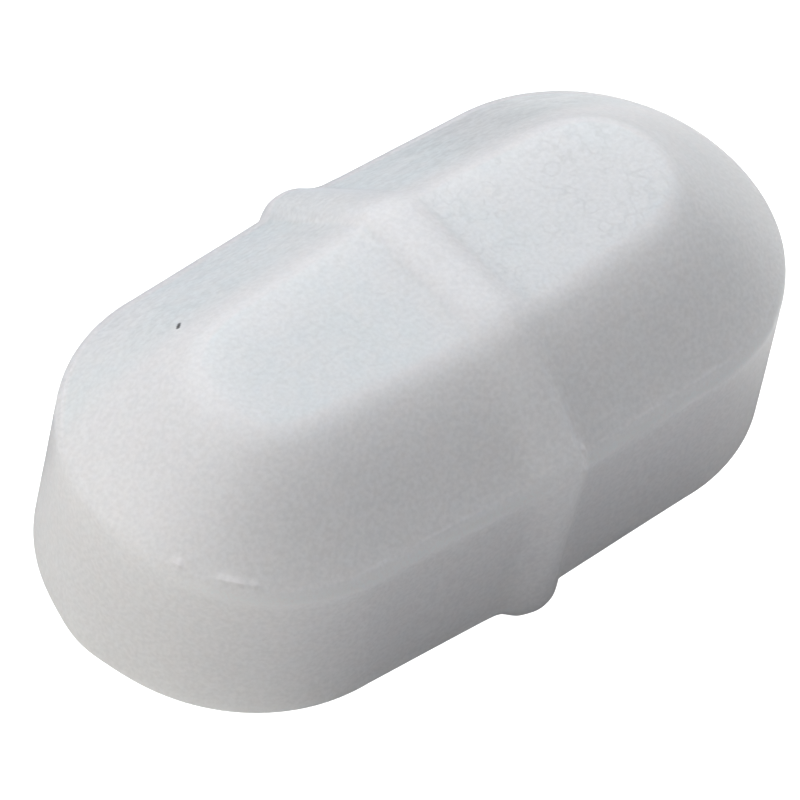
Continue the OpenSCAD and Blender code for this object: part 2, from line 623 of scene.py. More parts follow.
@dataclass(frozen=True)
class MouldingMarks:
    """Where the skin's marks, its painted shade and its painted highlights show, and the small
    unevenness of its moulding.
    """

    # spans of a column's heading across the bar, from -1 at the front to 1 at the rear
    front_span: Span = (-0.2, -0.7)
    rear_span: Span = (0.3, 0.8)

    # spans of tilt, in degrees, and of places and heights on the skin
    facet_tilt_span: Span = (2.0, 16.0)
    bevel_tilt_span: Span = (12.0, 36.0)
    bevel_end_span: Span = (-0.12, 0.0)
    rear_across_span: Span = (0.4, 0.6)
    facet_lift_span: Span = (0.03, 0.12)
    bevel_lift_span: Span = (0.01, 0.05)
    rim_lift_span: Span = (0.02, 0.1)
    rear_ring_span: Span = (0.02, 0.12)
    # places of the painted shade at the ring and in the dish, and of the painted highlights on the rim
    # and the front shoulder
    ring_right_hump: Hump = (0.72, 0.1)
    dish_hump: Hump = (0.12, 0.2)
    dish_span: Span = (3.4, 4.1)
    dish_share: float = 0.4
    rear_ring_share: float = 0.6
    ring_hides_facet: float = 0.7
    ring_hides_bevel: float = 0.4
    rim_highlight_hump: Hump = (-0.22, 0.2)
    rim_highlight_span: Span = (0.2, 1.0)
    rim_highlight_end: float = 4.0
    shoulder_highlight_hump: Hump = (0.22, 0.16)
    torn_span: Span = (0.008, 0.03)

    # unevenness left by the press tools and the sintering
    waves: Unevenness = Unevenness(0.006, 2.0, 21)
    dimples: tuple[Unevenness, ...] = (Unevenness(0.0022, 0.26, 22), Unevenness(0.0030, 0.48, 23))
    dimples_off_facet: float = 0.25
    ribs: Unevenness = Unevenness(0.0022, (1.5, 0.16, 0.16), 24)
    parting_calm: float = 0.8
    parting_spread: float = 0.14

    def masks(
        self, feet: np.ndarray, headings: np.ndarray, sizes: SectionSizes, places: SkinPlaces
    ) -> dict[SkinMask, np.ndarray]:
        """Where each mark shows on one half of the skin.

        A mask is a product of smooth steps and humps of the places. The facet's and the
        rear bevel's fade on the ring. The painted shade darkens the foot of the ring's right
        flank on the rear bevel, the rear half of the ring, and a dish outside the facet's
        right edge. The rim's painted highlight brightens it except at the rear right, and the
        shoulder's painted highlight lies along the front under the parting line.

        Args:
            feet: Feet of the columns.
            headings: Headings of the columns.
            sizes: Sizes of the columns' sections.
            places: Where the points stand.

        Returns:
            The masks, each (rows, columns) from 0 to 1.
        """
        x = feet[:, 0]
        tilt = np.degrees(places.tilt)
        lift, past_rim, past_foot = places.lift, places.past_rim, places.past_foot
        rear = smooth_step(places.across, *self.rear_across_span)
        front = smooth_step(headings[:, 1], *self.front_span)
        bevel = smooth_step(tilt, *self.bevel_tilt_span)
        bevel = bevel * (1 - smooth_step(past_foot, *self.bevel_end_span))
        # the rim's painted highlight, left off at the rear right
        unhighlighted = smooth_step(headings[:, 1], *self.rear_span) * smooth_step(x, *self.rim_highlight_span)
        highlighted = 1 - unhighlighted * (x < self.rim_highlight_end)
        # places of the painted shade: the ring's right foot and rear half on the rear bevel, and a dish
        # outside the right rim
        ring_foot = hump(x, *self.ring_right_hump) * rear * bevel
        ring_rear = smooth_step(lift, *self.rear_ring_span) * rear * bevel
        dish = hump(past_rim, *self.dish_hump) * sizes.crisp * smooth_step(x, *self.dish_span)
        facet = 1 - smooth_step(tilt, *self.facet_tilt_span)
        rim = hump(past_rim, *self.rim_highlight_hump) * highlighted
        hollow = np.maximum(ring_foot, self.dish_share * dish)
        hollow = np.maximum(hollow, self.rear_ring_share * ring_rear)
        off_ring = 1 - self.ring_hides_facet * smooth_step(lift, *self.facet_lift_span)
        beside_ring = 1 - self.ring_hides_bevel * smooth_step(lift, *self.bevel_lift_span)
        return {
            SkinMask.FACET: facet * off_ring,
            SkinMask.REAR_BEVEL: bevel * rear * beside_ring,
            SkinMask.PAINTED_SHADE: hollow,
            SkinMask.RIM_HIGHLIGHT: rim * (1 - smooth_step(lift, *self.rim_lift_span)),
            # painted highlight along the front shoulder
            SkinMask.SHOULDER_HIGHLIGHT: hump(past_foot, *self.shoulder_highlight_hump) * front * (1 - sizes.on_ring),
            SkinMask.FLASH: smooth_step(places.torn, *self.torn_span),
        }

    def heights(
        self, points: np.ndarray, masks: dict[SkinMask, np.ndarray], past_foot: np.ndarray
    ) -> np.ndarray:
        """Small heights that the press tools and the sintering leave on the skin.

        The sum of slow waves everywhere, dimples that are deepest on the facets, and ribs
        along the bar on the rear bevel. All of them are calmer near the parting line.

        Args:
            points: Points (rows, columns, 3).
            masks: Where the skin's marks show.
            past_foot: Distance past the bevel's foot.

        Returns:
            Heights along the normal, (rows, columns).
        """
        dimples = sum(dimple.at(points) for dimple in self.dimples)
        deep = self.dimples_off_facet + (1 - self.dimples_off_facet) * masks[SkinMask.FACET]
        marks = self.waves.at(points) + dimples * deep
        marks = marks + self.ribs.at(points) * masks[SkinMask.REAR_BEVEL]
        return marks * (1 - self.parting_calm * hump(past_foot, 0.0, self.parting_spread))


@dataclass
class Jacket:
    """The one-piece PTFE jacket: octagonal body, parting ledges, pivot ring and magnet cavity."""

    # overall sizes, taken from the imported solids
    bar_length: float = field(init=False)
    bar_height: float = field(init=False)
    middle_width: float = field(init=False)
    rod_length: float = field(init=False)
    rod_diameter: float = field(init=False)

    rod_chamfer: float = 0.3
    ring: PivotRing = PivotRing()
    flash: PartingFlash = PartingFlash()
    marks: MouldingMarks = MouldingMarks()

    end_width: float = 7.9
    wall_height: float = 3.9
    wall_power: float = 2.04
    bevel_inset: float = 2.33
    end_bevel_inset: float = 2.40
    bevel_crown: float = 0.02
    front_crown: float = 0.035
    foot_band: float = 0.1

    facet_end_half: float = 1.53
    facet_cap: float = 2.11
    facet_power: float = 2.3
    facet_rear_flare: float = 0.1
    facet_left_corner: float = 0.12

    # the facet's soft rim, tighter at the rear and grooved where it is crisp
    rim_radius: float = 0.95
    rim_tighter: float = 0.4
    rim_groove: float = 0.018
    rim_groove_hump: Hump = (0.05, 0.24)
    crisp_reach: float = 2.0
    crisp_lengths: tuple[float, float] = (3.0, 2.0)
    crisp_span: Span = (0.6, 1.4)

    # the parting ledge, which changes width round the ends, and the shoulder under it
    upper_ledge: float = 0.19
    lower_ledge: float = 0.15
    left_ledge_fade: float = 0.11
    right_ledge_fade: float = 0.04
    fade_reach: float = 4.0
    fade_start: float = 2.0
    fade_length: float = 4.0
    upper_shoulder: float = 0.26
    lower_shoulder: float = 0.3
    front_shoulder_extra: float = 0.13

    # the lower press tool stands a little to the left, most at the tip
    tool_shift: float = 0.01
    tip_bulge: float = 0.08
    tip_spread: float = 0.17

    # spans of a column's heading across the bar, from -1 at the front to 1 at the rear
    front_crown_span: Span = (-0.3, -0.8)
    front_shoulder_span: Span = (-0.5, -0.95)

    upper_rows: RowCounts = RowCounts(facet=20, rim=13, bevel=34, foot=7, shoulder=14, wall=12)
    lower_rows: RowCounts = RowCounts(facet=11, rim=8, bevel=20, foot=5, shoulder=10, wall=10)
    side_columns: int = 146
    side_crowding: tuple[float, float] = (1.1, 1.25)
    end_columns: int = 130
    rod_rows: int = 41
    rod_columns: int = 96
    shoulder_crowding: float = 1.35

    def __post_init__(self) -> None:
        """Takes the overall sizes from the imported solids."""
        low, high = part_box("jacket")
        rod_low, rod_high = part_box("magnet")
        size = (high - low) / MM
        rod = (rod_high - rod_low) / MM
        self.bar_length = size.x
        self.middle_width = size.y - 2 * self.ring.packed_height
        self.bar_height = size.z - 2 * self.ring.packed_height
        self.rod_length = rod.x
        self.rod_diameter = rod.z

    def plan_columns(self) -> tuple[np.ndarray, np.ndarray]:
        """Feet on the bar's axis and headings of the columns, anticlockwise from above.

        The columns of the sides stand square to the axis. Those of the ends fan out
        from one foot, at angles from -90 to 90 degrees.

        Returns:
            Feet (n, 2) and unit headings (n, 2).
        """
        centre = (self.bar_length - self.end_width) / 2
        stations = graded_stations(centre, self.side_columns, *self.side_crowding)[:-1]
        fan = np.linspace(-math.pi / 2, math.pi / 2, self.end_columns + 1)[:-1]
        end = np.full_like(fan, centre)
        feet_x = np.concatenate([stations, end, -stations, -end])
        turns = np.concatenate([np.full_like(stations, -math.pi / 2), fan])
        turns = np.concatenate([turns, turns + math.pi])
        feet = np.stack([feet_x, np.zeros_like(feet_x)], axis=1)
        return feet, np.stack([np.cos(turns), np.sin(turns)], axis=1)

    def section_sizes(self, side: Side, feet: np.ndarray, headings: np.ndarray) -> SectionSizes:
        """Sizes of every column's half section, which change a little round the bar.

        Args:
            side: Upper or lower half.
            feet: Feet of the columns.
            headings: Headings of the columns.

        Returns:
            The sizes, one value per column.
        """
        upper = side is Side.UPPER
        ahead, across = headings.T
        half_end = self.end_width / 2
        wall_plan = PlanOutline(
            self.bar_length / 2, self.middle_width / 2, half_end, half_end, self.wall_power
        )
        facet_plan = PlanOutline(
            self.bar_length / 2 - self.end_bevel_inset,
            self.middle_width / 2 - self.bevel_inset,
            self.facet_end_half,
            self.facet_cap,
            self.facet_power,
            self.facet_rear_flare,
        )
        left_corner = 2 * np.maximum(-ahead, 0) * np.maximum(-across, 0)

        on_end = (np.abs(feet[:, 0] + ahead * self.fade_reach) - self.fade_start) / self.fade_length
        left_fade = self.left_ledge_fade if upper else -self.right_ledge_fade
        fade = np.where(ahead < 0, left_fade, self.right_ledge_fade)
        ledge = self.upper_ledge if upper else self.lower_ledge
        shoulder = np.full(len(feet), self.upper_shoulder if upper else self.lower_shoulder)
        if upper:
            shoulder += self.front_shoulder_extra * smooth_step(across, *self.front_shoulder_span)

        place = (feet + headings * self.crisp_reach) / self.crisp_lengths
        crisp = smooth_step(place[:, 0] + place[:, 1], *self.crisp_span)
        tight = np.maximum(crisp, smooth_step(across, *self.marks.rear_span))

        on_side = np.abs(ahead) < 0.5
        on_wall = self.ring.lift(feet[:, 0], across, np.array(side.value * self.ring.wall_level))
        return SectionSizes(
            wall=wall_plan.distance(feet, headings),
            facet=facet_plan.distance(feet, headings) + self.facet_left_corner * left_corner**2,
            rim=self.rim_radius * (1 - self.rim_tighter * tight),
            ledge=ledge - fade * np.abs(ahead) * np.clip(on_end, 0, 1),
            shoulder=shoulder,
            crown=self.front_crown * smooth_step(across, *self.front_crown_span) * upper,
            crisp=crisp,
            on_side=on_side,
            on_ring=smooth_step(on_wall * on_side / self.ring.height, *self.ring.corner_span),
        )

    def half_section(
        self, sizes: SectionSizes, rows: RowCounts
    ) -> tuple[np.ndarray, np.ndarray, np.ndarray]:
        """Upper half section of every column, from the facet's middle down to mid wall.

        With W, F and L the distances of wall, facet corner and ledge, the bevel runs
        from its foot (W - L, foot height) to (F, half height) at the slope b. The rim
        is an arc of the rim radius between facet and bevel. The shoulder is an arc of
        the shoulder radius that starts where it passes the bevel's foot. On the ring
        the corner is a plain arc from slope b to upright, with neither foot nor ledge,
        and the two sections are blended by on_ring. The bevel's crown is the parabola
        4 s (1 - s) with s the share of the way down, and the front bevel's extra one is
        6.75 s (1 - s)^2, which is fullest a third of the way down.

        Args:
            sizes: Sizes of the columns.
            rows: Rows in each band.

        Returns:
            Distances, heights and tilts of the normal from upright, each (rows, columns).
        """
        wall, facet, rim, ledge = sizes.wall, sizes.facet, sizes.rim, sizes.ledge
        shoulder, on_ring = sizes.shoulder, sizes.on_ring
        top = self.bar_height / 2
        seam = self.wall_height / 2
        foot_z = seam - shoulder * (1 - np.sqrt(1 - (1 - ledge / shoulder) ** 2))
        slope = np.arctan2(top - foot_z, wall - ledge - facet)
        plain_slope = np.arctan2(top - seam, wall - facet)
        tangent = rim * np.tan(slope / 2)

        facet_r = band(rows.facet) * (facet - tangent)
        facet_z = top + 0 * facet_r

        turn = band(rows.rim) * slope
        rim_r = facet - tangent + rim * np.sin(turn)
        rim_z = top - rim * (1 - np.cos(turn))

        start_r = facet + tangent * np.cos(slope)
        start_z = top - tangent * np.sin(slope)
        run = np.hypot(wall - ledge - start_r, start_z - foot_z)
        near_foot = 1 - self.foot_band / run
        foot = near_foot + band(rows.foot) * (1 - near_foot)
        down = np.concatenate([band(rows.bevel) * near_foot, foot])
        crown = self.bevel_crown * 4 * down * (1 - down) + sizes.crown * 6.75 * down * (1 - down) ** 2
        bevel_r = start_r + down * (wall - ledge - start_r) + crown * np.sin(slope)
        bevel_z = start_z + down * (foot_z - start_z) + crown * np.cos(slope)

        early = band(rows.shoulder) ** self.shoulder_crowding
        arc = np.arccos(1 - ledge / shoulder) * (1 - early)
        shoulder_r = wall - shoulder * (1 - np.cos(arc))
        shoulder_z = seam - shoulder * (1 - np.sin(arc))

        # the plain corner of the ring: an arc tangent to the bevel and to the wall
        radius = self.ring.corner_radius
        centre_z = seam - radius * (1 - np.sin(plain_slope)) / np.cos(plain_slope)
        lean = plain_slope + early * (math.pi / 2 - plain_slope)
        plain_start_r = wall - radius + radius * np.sin(plain_slope)
        plain_start_z = centre_z + radius * np.cos(plain_slope)
        plain_r = start_r + down * (plain_start_r - start_r) + crown * np.sin(slope)
        plain_z = start_z + down * (plain_start_z - start_z) + crown * np.cos(slope)
        corner_r = wall - radius + radius * np.sin(lean)
        corner_z = centre_z + radius * np.cos(lean)
        bevel_r = bevel_r + on_ring * (plain_r - bevel_r)
        bevel_z = bevel_z + on_ring * (plain_z - bevel_z)
        shoulder_r = shoulder_r + on_ring * (corner_r - shoulder_r)
        shoulder_z = shoulder_z + on_ring * (corner_z - shoulder_z)

        level = np.linspace(0, 1, rows.wall + 1)[:, None]
        wall_r = wall + 0 * level
        wall_z = (seam - shoulder + on_ring * (centre_z - seam + shoulder)) * (1 - level)

        parts = (
            (facet_r, facet_z, 0.0),
            (rim_r, rim_z, turn),
            (bevel_r, bevel_z, slope),
            (shoulder_r, shoulder_z, lean),
            (wall_r, wall_z, math.pi / 2),
        )
        distance, height, tilt = zip(*((r, z, angle + 0 * r) for r, z, angle in parts))
        return np.concatenate(distance), np.concatenate(height), np.concatenate(tilt)

    def surface(
        self, side: Side, feet: np.ndarray, headings: np.ndarray
    ) -> tuple[np.ndarray, dict[SkinMask, np.ndarray]]:
        """Points and masks of one mirrored half of the skin.

        The half section is raised along its normals by ring, flash and moulding marks,
        less the groove beside the crisp rim, and stood on the columns' feet.

        Args:
            side: Upper or lower half.
            feet: Feet of the columns.
            headings: Headings of the columns.

        Returns:
            Points (rows, columns, 3) from the facet's middle to mid wall, and the masks,
            each (rows, columns).
        """
        rows = self.upper_rows if side is Side.UPPER else self.lower_rows
        sizes = self.section_sizes(side, feet, headings)
        distance, height, tilt = self.half_section(sizes, rows)
        steps = np.hypot(np.diff(distance, axis=0), np.diff(height, axis=0))
        run = np.concatenate([np.zeros((1, len(feet))), np.cumsum(steps, axis=0)])
        past_foot = run - run[rows.to_foot]
        past_rim = run - run[rows.to_bevel]
        groove = self.rim_groove * sizes.crisp * hump(past_rim, *self.rim_groove_hump)
        across = headings[:, 1] * distance / (self.middle_width / 2)
        up = side.value * height / (self.bar_height / 2)
        lift = self.ring.lift(feet[:, 0], across, up) * sizes.on_side
        rim = feet + headings * (self.end_width / 2 - self.upper_ledge)
        flash, torn = self.flash.lift(side, feet, headings, rim, past_foot)
        proud = lift + flash * np.maximum(1 - sizes.on_ring, torn > self.flash.torn_least) - groove
        distance = distance + proud * np.sin(tilt)
        height = height + proud * np.cos(tilt)
        flat = feet[None] + headings[None] * distance[..., None]
        points = np.concatenate([flat, height[..., None]], axis=-1)

        places = SkinPlaces(tilt, across, lift, torn, past_rim, past_foot)
        masks = self.marks.masks(feet, headings, sizes, places)
        sideways = headings[None] * np.sin(tilt)[..., None]
        outward = np.concatenate([sideways, np.cos(tilt)[..., None]], axis=-1)
        points = points + outward * self.marks.heights(points, masks, past_foot)[..., None]
        if side is Side.LOWER:
            low = smooth_step(points[..., 2], 0.0, self.wall_height / 2)
            from_tip = np.arctan2(-headings[:, 1], -headings[:, 0])
            tip = self.tip_bulge * hump(from_tip, 0.0, self.tip_spread)
            points[..., 0] -= (self.tool_shift + tip) * low
        points[..., 2] *= side.value
        return points, masks

    def cavity(self) -> tuple[np.ndarray, np.ndarray]:
        """Wall of the magnet's cavity: a chamfered profile turned round the bar's axis.

        Returns:
            Points (n, 3) and quads (m, 4), which face inwards.
        """
        half = self.rod_length / 2
        radius = self.rod_diameter / 2
        chamfer = self.rod_chamfer
        corner_x = [half, half, half - chamfer, chamfer - half, -half, -half]
        corner_r = [0, radius - chamfer, radius, radius, radius - chamfer, 0]
        place = np.linspace(0, len(corner_x) - 1, self.rod_rows)
        x = np.interp(place, np.arange(len(corner_x)), corner_x)[:, None]
        r = np.interp(place, np.arange(len(corner_r)), corner_r)[:, None]
        turn = np.linspace(0, 2 * math.pi, self.rod_columns, endpoint=False)
        points = np.stack([x + 0 * turn, r * np.cos(turn), r * np.sin(turn)], axis=-1)
        return points.reshape(-1, 3), grid_faces(self.rod_rows, self.rod_columns)[:, ::-1]

    def build(self) -> Object:
        """Joins both halves of the skin and the cavity in one closed piece.

        Returns:
            The jacket, at the origin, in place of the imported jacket.
        """
        feet, headings = self.plan_columns()
        upper, upper_masks = self.surface(Side.UPPER, feet, headings)
        lower, lower_masks = self.surface(Side.LOWER, feet, headings)
        skin = np.concatenate([upper, lower[-2::-1]])
        skin_quads = grid_faces(len(skin), len(feet))
        skin = skin.reshape(-1, 3)
        inner, inner_quads = self.cavity()
        marks = {}
        for mask in SkinMask:
            whole = np.concatenate([upper_masks[mask], lower_masks[mask][-2::-1]])
            marks[mask.value] = np.concatenate([whole.reshape(-1), np.zeros(len(inner))])
        points = np.concatenate([skin, inner])
        quads = np.concatenate([skin_quads, inner_quads + len(skin)])
        return linked_object("jacket_skin", welded_mesh("jacket_skin", points, quads, marks))


class Ramp(NamedTuple):
    """Takes a value smoothly between two numbers while it goes from low to high.

    It unpacks in the order of a Map Range node's sockets.
    """

    low: float
    high: float
    at_low: float = 0.0
    at_high: float = 1.0


@dataclass(frozen=True)
class Fleck:
    """A dark grain pressed into the polymer, at a place on the skin in millimetres."""

    place: tuple[float, float, float]
    radius: float
    strength: float


@dataclass(frozen=True)
class MouldedPTFE:
    """White PTFE, compression moulded from powder and sintered.

    It gives the eye a milky white body in which light spreads a few millimetres, a waxy
    soft sheen of low index, a fine grain and faint warm and cool patches; the cool ones
    are a painted tint of the cool light on the facets and the rear bevel, which face it.
    Painted shade darkens a net of crease lines between the sintered lumps of powder on
    the facets, most on the right half, the foot and rear half of the ring on the rear
    bevel, and a dish outside the facet's right rim. Painted highlights brighten the
    facet's rim and the front shoulder. Darker streaks and stains lie along the rear
    bevel. Torn flash is stressed opaque white.
    """

    body: str = "#F7F8F8"
    # the cool colour is a painted tint of the cool light from above and behind
    cool: str = "#F0F6F7"
    warm: str = "#FAF7F7"
    ior: float = 1.35
    scatter_mm: float = 3.0
    scatter_colour: tuple[float, float, float] = (1.0, 0.95, 0.9)
    torn_scatter: Ramp = Ramp(0.0, 1.0, 1.0, 0.3)

    # colour patches of the sintered powder
    drift_mm: float = 2.6
    drift: Ramp = Ramp(0.3, 0.6, 0.5, 1.0)
    patch_mm: float = 0.45
    patch: Ramp = Ramp(0.35, 0.65, 0.0, 0.35)

    # The powder's real grain is near 0.03 mm. It is drawn three times as coarse to show.
    grain_mm: float = 0.09
    grain_tone: Ramp = Ramp(0.2, 0.8, 0.89, 1.0)
    grain_gloss: Ramp = Ramp(0.3, 0.7, 0.36, 0.52)
    grain_depth_mm: float = 0.0012

    # the painted crease shade lies on ridges of a noise, where it passes its middle
    lump_mm: float = 0.34
    ridge_rise: Ramp = Ramp(0.42, 0.5)
    ridge_fall: Ramp = Ramp(0.5, 0.58, 1.0, 0.0)
    crease_along: Ramp = Ramp(-1.0 * MM, 3.0 * MM, 0.45, 1.0)
    crease_patch_mm: float = 0.6
    crease_patch: Ramp = Ramp(0.35, 0.62, 0.2, 1.0)
    crease_shade_depth: float = 0.085

    # marks along the rear bevel: cells along, across and up, their contrast, and where
    # they lie along the bar with how much they darken there
    streak_mm: tuple[float, float, float] = (0.24, 0.12, 0.12)
    streak: Ramp = Ramp(0.38, 0.66)
    streak_along: Ramp = Ramp(-6.0 * MM, -4.8 * MM, 0.0, 0.06)
    stain_mm: tuple[float, float, float] = (0.55, 0.3, 0.3)
    stain: Ramp = Ramp(0.38, 0.62, 0.35, 1.0)
    stain_along: Ramp = Ramp(0.8 * MM, 2.6 * MM, 0.0, 0.07)
    corner_start: Ramp = Ramp(2.2 * MM, 3.4 * MM, 0.0, 0.07)
    corner_end: Ramp = Ramp(4.3 * MM, 5.6 * MM, 1.0, 0.0)

    # how much darker, or brighter where negative, the skin's masks make it: painted shade by the ring
    # and outside the facet's right rim, painted highlights on the rim and the front shoulder
    painted_shade_depth: float = 0.10
    rim_highlight_depth: float = -0.03
    shoulder_highlight_depth: float = -0.13

    fleck: str = "#4A4A4C"
    # shares of its radius between which a fleck fades out
    fleck_edge: tuple[float, float] = (0.5, 1.4)
    # the first three are the dark speck, the next the faint one, and the rest a hair
    flecks: tuple[Fleck, ...] = (
        Fleck((-4.590, 2.129, 3.264), 0.046, 0.9),
        Fleck((-4.642, 2.097, 3.294), 0.048, 0.95),
        Fleck((-4.694, 2.065, 3.324), 0.046, 0.9),
        Fleck((-6.434, 1.163, 2.912), 0.024, 0.3),
        Fleck((-6.530, -3.080, 0.496), 0.020, 0.3),
        Fleck((-6.485, -3.115, 0.500), 0.018, 0.3),
        Fleck((-6.441, -3.150, 0.506), 0.020, 0.3),
        Fleck((-6.422, -3.164, 0.545), 0.018, 0.3),
        Fleck((-6.403, -3.178, 0.587), 0.020, 0.3),
        Fleck((-6.378, -3.196, 0.642), 0.018, 0.3),
        Fleck((-6.353, -3.214, 0.698), 0.016, 0.25),
    )

    def crease_shade(self, tree: NodeTree, place: NodeSocket, facet: NodeSocket) -> NodeSocket:
        """Painted shade along a net of soft crease lines round the sintered lumps, where it shows on the
        facets.

        Args:
            tree: The material's node tree.
            place: Object coordinates.
            facet: The mask of the facets.

        Returns:
            1 on a crease and 0 inside a lump or off the facets.
        """
        lumps = add_node(
            tree,
            "ShaderNodeTexNoise",
            {"Vector": place, "Scale": per_metre(self.lump_mm), "Detail": 1.0},
        )
        patches = add_node(
            tree,
            "ShaderNodeTexNoise",
            {"Vector": place, "Scale": per_metre(self.crease_patch_mm), "Detail": 2.0},
        )
        along = add_node(tree, "ShaderNodeSeparateXYZ", (place,), "X")
        crease = facet
        for value, ramp in (
            (lumps, self.ridge_rise),
            (lumps, self.ridge_fall),
            (along, self.crease_along),
            (patches, self.crease_patch),
        ):
            share = add_node(tree, "ShaderNodeMapRange", (value, *ramp), **SMOOTH)
            crease = add_node(tree, "ShaderNodeMath", (crease, share), operation="MULTIPLY")
        return crease

    def bevel_marks(self, tree: NodeTree, place: NodeSocket, rear_bevel: NodeSocket) -> NodeSocket:
        """Darkening along the rear bevel: short streaks on its left half, stains on its right.

        Each kind of mark is a noise drawn out along the bar times where it lies, and a
        plain darkening is added where the right end begins.

        Args:
            tree: The material's node tree.
            place: Object coordinates.
            rear_bevel: The mask of the rear bevel.

        Returns:
            How much darker the surface is, from 0.
        """
        along = add_node(tree, "ShaderNodeSeparateXYZ", (place,), "X")
        pairs = []
        for cell_mm, contrast, lies in (
            (self.streak_mm, self.streak, self.streak_along),
            (self.stain_mm, self.stain, self.stain_along),
        ):
            scale = [per_metre(size) for size in cell_mm]
            drawn = add_node(tree, "ShaderNodeMapping", {"Vector": place, "Scale": scale})
            noise = add_node(tree, "ShaderNodeTexNoise", {"Vector": drawn, "Scale": 1.0, "Detail": 2.0})
            pairs.append(((noise, contrast), (along, lies)))
        pairs.append(((along, self.corner_start), (along, self.corner_end)))
        total = 0.0
        for pair in pairs:
            shares = [
                add_node(tree, "ShaderNodeMapRange", (value, *ramp), **SMOOTH) for value, ramp in pair
            ]
            total = add_node(tree, "ShaderNodeMath", (*shares, total), operation="MULTIPLY_ADD")
        return add_node(tree, "ShaderNodeMath", (total, rear_bevel), operation="MULTIPLY")

    def body_colour(self, tree: NodeTree, place: NodeSocket, cool_light_places: NodeSocket) -> NodeSocket:
        """Milky white, with a painted tint of the cool light on the facets and the rear bevel, which
        face it, and warmer elsewhere, in soft patches.

        Args:
            tree: The material's node tree.
            place: Object coordinates.
            cool_light_places: 1 where the painted cool light tint goes.

        Returns:
            The colour.
        """
        shares = []
        for cell_mm, ramp in ((self.drift_mm, self.drift), (self.patch_mm, self.patch)):
            inputs = {"Vector": place, "Scale": per_metre(cell_mm), "Detail": 1.0}
            noise = add_node(tree, "ShaderNodeTexNoise", inputs)
            shares.append(add_node(tree, "ShaderNodeMapRange", (noise, *ramp), **SMOOTH))
        drift, patch = shares
        # painted cool light tint, in soft patches
        cool_light_share = add_node(tree, "ShaderNodeMath", (cool_light_places, drift), operation="MULTIPLY")
        colour = linear_colour(self.warm)
        for share, over in ((cool_light_share, self.cool), (patch, self.body)):
            inputs = {SHARE: share, UNDER: colour, OVER: linear_colour(over)}
            colour = add_node(tree, "ShaderNodeMix", inputs, MIXED, data_type="RGBA")
        return colour

    def flecked(self, tree: NodeTree, place: NodeSocket, colour: NodeSocket) -> NodeSocket:
        """Lays the dark flecks over a colour.

        Args:
            tree: The material's node tree.
            place: Object coordinates.
            colour: The colour of the body.

        Returns:
            The colour with its flecks.
        """
        for fleck in self.flecks:
            centre = [c * MM for c in fleck.place]
            away = add_node(tree, "ShaderNodeVectorMath", (place, centre), "Value", operation="DISTANCE")
            inner, outer = [share * fleck.radius * MM for share in self.fleck_edge]
            cover = Ramp(inner, outer, fleck.strength, 0.0)
            share = add_node(tree, "ShaderNodeMapRange", (away, *cover), **SMOOTH)
            inputs = {SHARE: share, UNDER: colour, OVER: linear_colour(self.fleck)}
            colour = add_node(tree, "ShaderNodeMix", inputs, MIXED, data_type="RGBA")
        return colour

    def material(self) -> Material:
        """Builds the material.

        Returns:
            A Principled material on Object coordinates and the skin's own masks.
        """
        material = empty_material("white_ptfe_moulded_sintered")
        tree = material.node_tree
        place = add_node(tree, "ShaderNodeTexCoord", output="Object")
        masks = {
            mask: add_node(tree, "ShaderNodeAttribute", output="Fac", attribute_name=mask.value)
            for mask in SkinMask
        }
        facet, rear_bevel = masks[SkinMask.FACET], masks[SkinMask.REAR_BEVEL]
        grain = add_node(
            tree,
            "ShaderNodeTexNoise",
            {"Vector": place, "Scale": per_metre(self.grain_mm), "Detail": 2.0},
        )
        tone, gloss, scatter = [
            add_node(tree, "ShaderNodeMapRange", (value, *ramp), **SMOOTH)
            for value, ramp in (
                (grain, self.grain_tone),
                (grain, self.grain_gloss),
                (masks[SkinMask.FLASH], self.torn_scatter),
            )
        ]
        darker = self.bevel_marks(tree, place, rear_bevel)
        # painted shade along the crease lines and by the ring, painted highlights on the rim and the
        # front shoulder
        for mask, depth in (
            (self.crease_shade(tree, place, facet), self.crease_shade_depth),
            (masks[SkinMask.PAINTED_SHADE], self.painted_shade_depth),
            (masks[SkinMask.RIM_HIGHLIGHT], self.rim_highlight_depth),
            (masks[SkinMask.SHOULDER_HIGHLIGHT], self.shoulder_highlight_depth),
        ):
            darker = add_node(tree, "ShaderNodeMath", (mask, depth, darker), operation="MULTIPLY_ADD")
        shade = add_node(tree, "ShaderNodeMath", (tone, darker), operation="SUBTRACT")
        # painted cool light tint on the facets and rear bevel, which face the cool light
        cool_light_places = add_node(tree, "ShaderNodeMath", (facet, rear_bevel), operation="ADD")
        colour = add_node(
            tree,
            "ShaderNodeVectorMath",
            {"Vector": self.body_colour(tree, place, cool_light_places), "Scale": shade},
            operation="SCALE",
        )
        bump = add_node(
            tree,
            "ShaderNodeBump",
            {"Strength": 1.0, "Distance": self.grain_depth_mm * MM, "Height": grain},
        )
        shader = add_node(
            tree,
            "ShaderNodeBsdfPrincipled",
            {
                "Base Color": self.flecked(tree, place, colour),
                "Roughness": gloss,
                "IOR": self.ior,
                "Subsurface Weight": scatter,
                "Subsurface Radius": self.scatter_colour,
                "Subsurface Scale": self.scatter_mm * MM,
                "Normal": bump,
            },
        )
        add_node(tree, "ShaderNodeOutputMaterial", {"Surface": shader})
        return material


